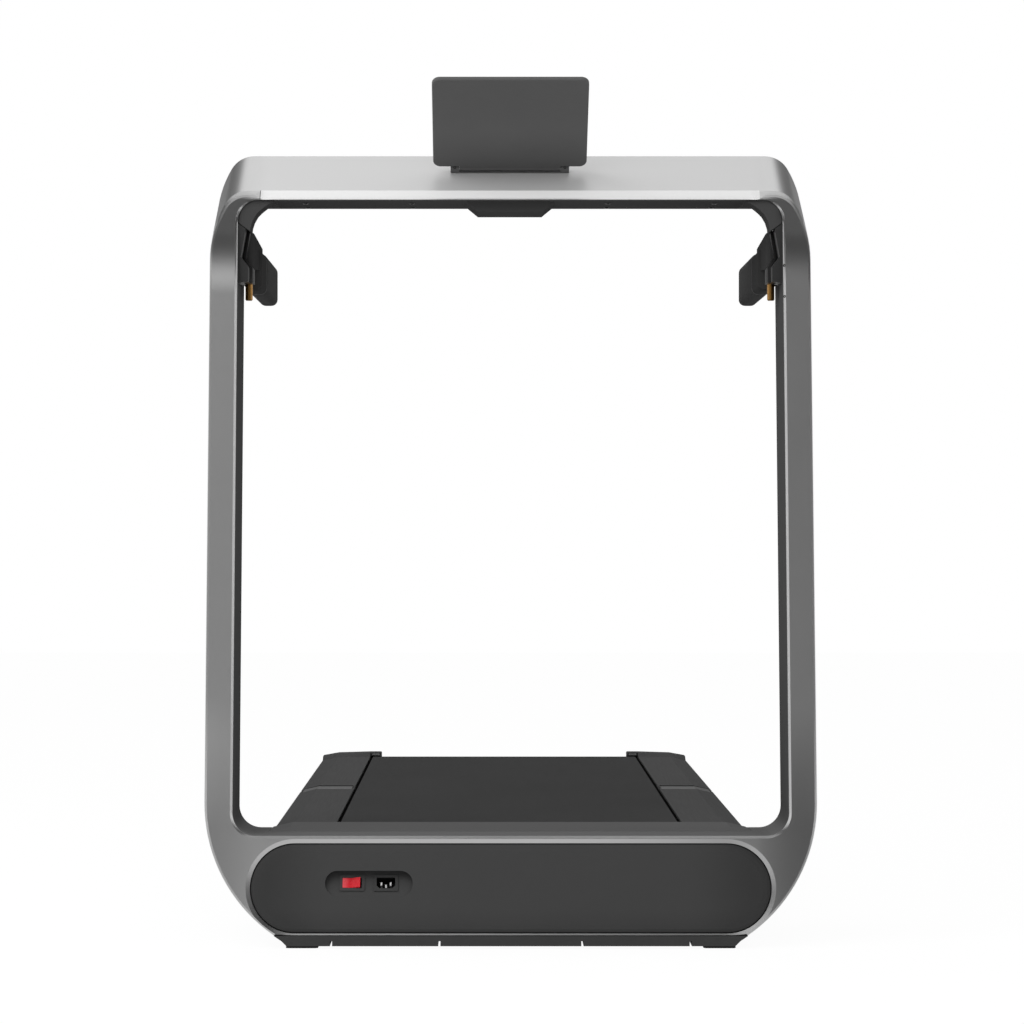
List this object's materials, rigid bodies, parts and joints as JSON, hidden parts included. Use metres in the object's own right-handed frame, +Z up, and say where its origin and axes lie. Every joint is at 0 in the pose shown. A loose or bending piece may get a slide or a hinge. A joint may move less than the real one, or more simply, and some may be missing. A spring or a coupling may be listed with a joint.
{
  "type": "walking pad treadmill",
  "caption": "Folding walking pad: a flat belt deck hinged to a tall leaning aluminium loop frame with a sloped console bar, swing-in handlebars and a tilting tablet plate.",
  "frame": {"origin": "on the floor under the middle of the whole machine's box", "axes": "+Z up, +Y from the loop frame along the deck to its rear end, +X to the right seen from the loop's front"},
  "size_m": [0.7276, 1.42, 1.0367],
  "materials": {
    "frame_aluminium": "satin",
    "dark_cover": "matte",
    "pan_plastic": "matte",
    "foot_rubber": "matte",
    "circuit_board": "satin",
    "switch_red": "gloss",
    "brass_pin": "polished",
    "wheel_plastic": "matte",
    "steel_pin": "brushed",
    "display_glass": "gloss",
    "knob_metal": "brushed",
    "tablet_plastic": "satin",
    "bracket_steel": "satin",
    "handle_metal": "satin",
    "grip_rubber": "matte",
    "rail_aluminium": "satin",
    "board_wood": "matte",
    "belt_rubber": "matte"
  },
  "bodies": {
    "base": {"lower_frame": "frame_aluminium", "left_upright": "frame_aluminium", "right_upright": "frame_aluminium", "top_crossbar": "frame_aluminium", "front_cover": "dark_cover", "base_top_cover": "dark_cover", "base_pan": "pan_plastic", "base_feet": "foot_rubber", "controller_board": "circuit_board", "switch_bezel": "pan_plastic", "power_inlet": "pan_plastic", "inlet_pins": "steel_pin", "wheel_axles": "steel_pin", "console_bottom_cover": "dark_cover", "console_board": "circuit_board", "display_window": "display_glass", "key_socket": "pan_plastic", "tablet_hinge_base": "tablet_plastic", "tablet_hinge_pin": "steel_pin", "handle_brackets": "bracket_steel", "handle_pins": "brass_pin", "hinge_lugs": "bracket_steel", "deck_hinge_pins": "steel_pin"},
    "deck_front": {"front_rail_left": "rail_aluminium", "front_rail_right": "rail_aluminium", "front_deck_board": "board_wood", "front_frame": "bracket_steel", "front_feet": "foot_rubber", "motor_cover": "dark_cover", "motor_body": "bracket_steel", "drive_belt": "belt_rubber", "front_axle": "steel_pin", "belt_front": "belt_rubber"},
    "motor_rotor": {"motor_rotor": "steel_pin"},
    "front_roller": {"front_roller": "steel_pin"},
    "front_idler": {"front_idler": "steel_pin"},
    "fold_links": {"fold_links": "rail_aluminium", "fold_pins": "steel_pin"},
    "deck_rear": {"rear_rail_left": "rail_aluminium", "rear_rail_right": "rail_aluminium", "rear_crossbars": "bracket_steel", "rear_deck_board": "board_wood", "rear_axle": "steel_pin", "belt_rear": "belt_rubber", "rear_end_caps": "dark_cover", "tension_hardware": "steel_pin", "rear_feet": "foot_rubber"},
    "rear_roller": {"rear_roller": "steel_pin"},
    "rear_idler": {"rear_idler": "steel_pin"},
    "handle_left": {"handle_left": "handle_metal", "grip_left": "grip_rubber"},
    "handle_right": {"handle_right": "handle_metal", "grip_right": "grip_rubber"},
    "tablet": {"tablet_plate": "tablet_plastic", "tablet_pads": "foot_rubber"},
    "speed_knob": {"speed_knob": "knob_metal"},
    "power_rocker": {"power_rocker": "switch_red"},
    "safety_key": {"safety_key": "switch_red"},
    "wheel_left": {"transport_wheel_left": "wheel_plastic"},
    "wheel_right": {"transport_wheel_right": "wheel_plastic"}
  },
  "joints": [
    {"name": "deck_lift", "type": "hinge", "parent": "base", "child": "deck_front", "pos_m": [0, -0.57055, 0.118], "axis": [1, 0, 0], "range_deg": [0, 83.64]},
    {"name": "deck_fold", "type": "hinge", "parent": "deck_front", "child": "fold_links", "pos_m": [0, 0.05823, 0.113], "axis": [1, 0, 0], "range_deg": [0, 90]},
    {"name": "deck_fold_rear", "type": "hinge", "parent": "fold_links", "child": "deck_rear", "pos_m": [0, 0.09473, 0.113], "axis": [1, 0, 0], "range_deg": [0, 90]},
    {"name": "handle_left_swing", "type": "hinge", "parent": "base", "child": "handle_left", "pos_m": [-0.3205, -0.56046, 0.814], "axis": [0, 0, -1], "range_deg": [0, 90]},
    {"name": "handle_right_swing", "type": "hinge", "parent": "base", "child": "handle_right", "pos_m": [0.3205, -0.56046, 0.814], "axis": [0, 0, 1], "range_deg": [0, 90]},
    {"name": "tablet_tilt", "type": "hinge", "parent": "base", "child": "tablet", "pos_m": [0, -0.54805, 0.94056], "axis": [-1, 0, 0], "range_deg": [0, 105]},
    {"name": "speed_knob_turn", "type": "hinge", "parent": "base", "child": "speed_knob", "pos_m": [0.16, -0.50151, 0.92845], "axis": [0, 0.9938, -0.1108], "continuous": true},
    {"name": "power_rocker_tip", "type": "hinge", "parent": "base", "child": "power_rocker", "pos_m": [-0.188, -0.69331, 0.07455], "axis": [0, 0.5021, 0.8648], "range_deg": [0, 18]},
    {"name": "safety_key_pull", "type": "slide", "parent": "base", "child": "safety_key", "axis": [0, 0.9938, -0.1108], "range_m": [0, 0.012]},
    {"name": "roller_drive", "type": "hinge", "parent": "deck_front", "child": "front_roller", "pos_m": [0, -0.51955, 0.1042], "axis": [1, 0, 0], "continuous": true},
    {"name": "rear_roller_turn", "type": "hinge", "parent": "deck_rear", "child": "rear_roller", "pos_m": [0, 0.676, 0.1042], "axis": [1, 0, 0], "continuous": true},
    {"name": "motor_turn", "type": "hinge", "parent": "deck_front", "child": "motor_rotor", "pos_m": [0, -0.55155, 0.064], "axis": [1, 0, 0], "continuous": true},
    {"name": "front_idler_turn", "type": "hinge", "parent": "deck_front", "child": "front_idler", "pos_m": [0, 0.03148, 0.0867], "axis": [1, 0, 0], "continuous": true},
    {"name": "rear_idler_turn", "type": "hinge", "parent": "deck_rear", "child": "rear_idler", "pos_m": [0, 0.12148, 0.0867], "axis": [1, 0, 0], "continuous": true},
    {"name": "wheel_left_turn", "type": "hinge", "parent": "base", "child": "wheel_left", "pos_m": [-0.25, -0.62488, 0.021], "axis": [1, 0, 0], "continuous": true},
    {"name": "wheel_right_turn", "type": "hinge", "parent": "base", "child": "wheel_right", "pos_m": [0.25, -0.62488, 0.021], "axis": [1, 0, 0], "continuous": true}
  ],
  "couplings": [
    {"joint": "deck_fold_rear", "follows": "deck_fold", "ratio": 1},
    {"joint": "rear_roller_turn", "follows": "roller_drive", "ratio": 1},
    {"joint": "motor_turn", "follows": "roller_drive", "ratio": 2.125},
    {"joint": "front_idler_turn", "follows": "roller_drive", "ratio": -2},
    {"joint": "rear_idler_turn", "follows": "roller_drive", "ratio": -2}
  ]
}
